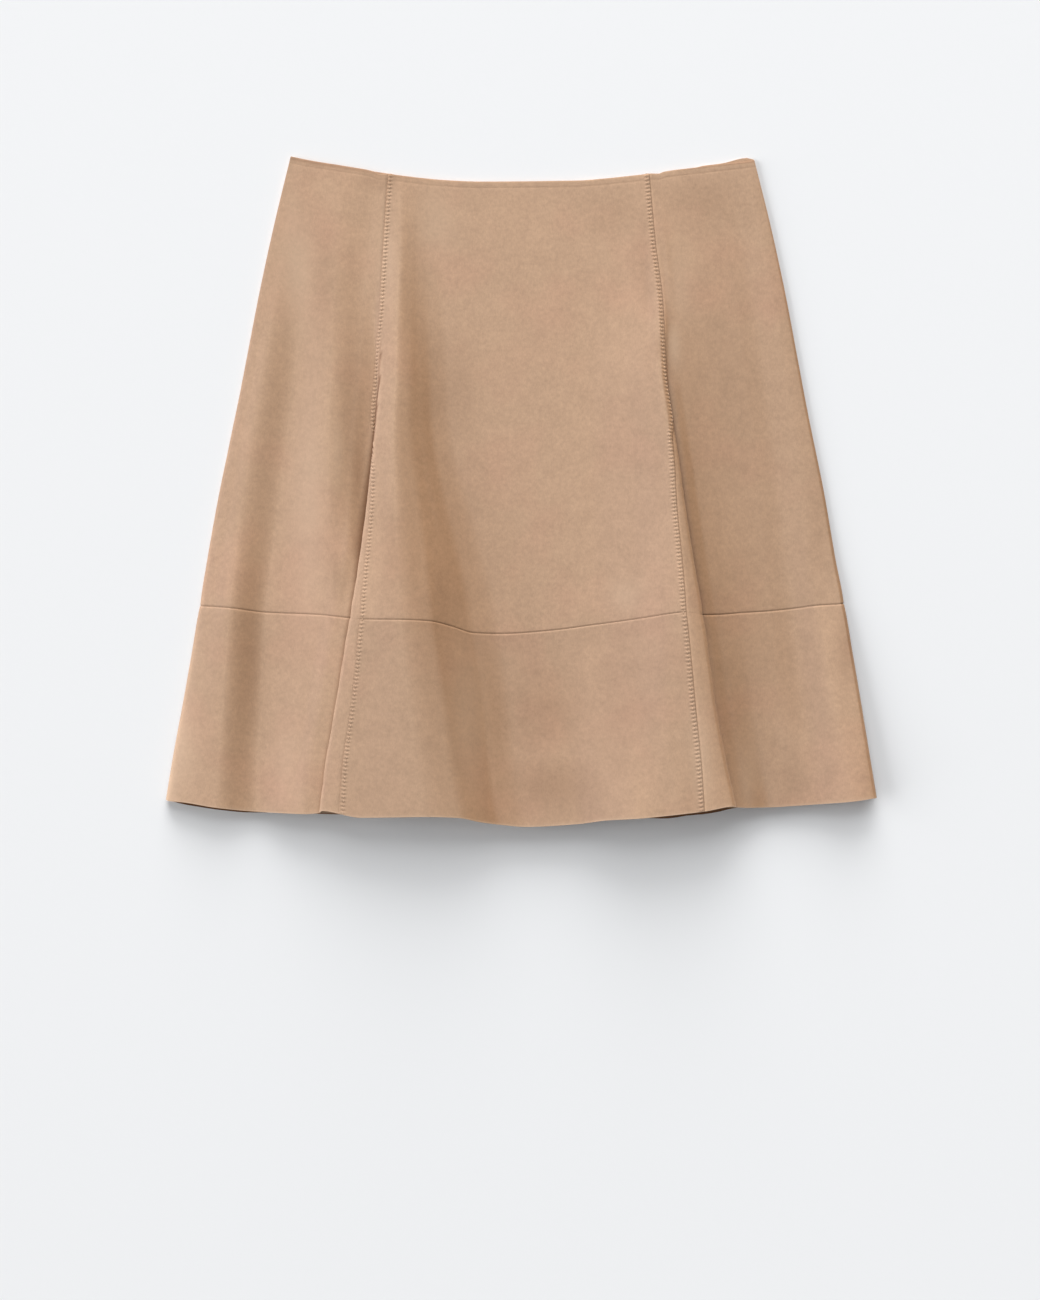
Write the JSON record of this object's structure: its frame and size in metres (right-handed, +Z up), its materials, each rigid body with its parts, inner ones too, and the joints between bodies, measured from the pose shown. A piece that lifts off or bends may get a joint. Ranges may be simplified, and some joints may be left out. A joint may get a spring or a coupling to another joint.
{
  "type": "a-line skirt",
  "caption": "Short flared A-line skirt in plain suede with princess seams and a hem band, laid flat with its front side up.",
  "frame": {"origin": "centre of the bounding box, on the surface that the skirt lies on", "axes": "+X to the right as seen from above, +Y from the hem to the waist, +Z up from the surface"},
  "size_m": [0.5667, 0.535, 0.0313],
  "materials": {
    "suede": "matt, brushed nap"
  },
  "bodies": {
    "root": {"front_centre_panel": "suede", "front_left_panel": "suede", "front_right_panel": "suede", "front_centre_band": "suede", "front_left_band": "suede", "front_right_band": "suede", "back_panel": "suede", "back_band": "suede"}
  },
  "joints": []
}
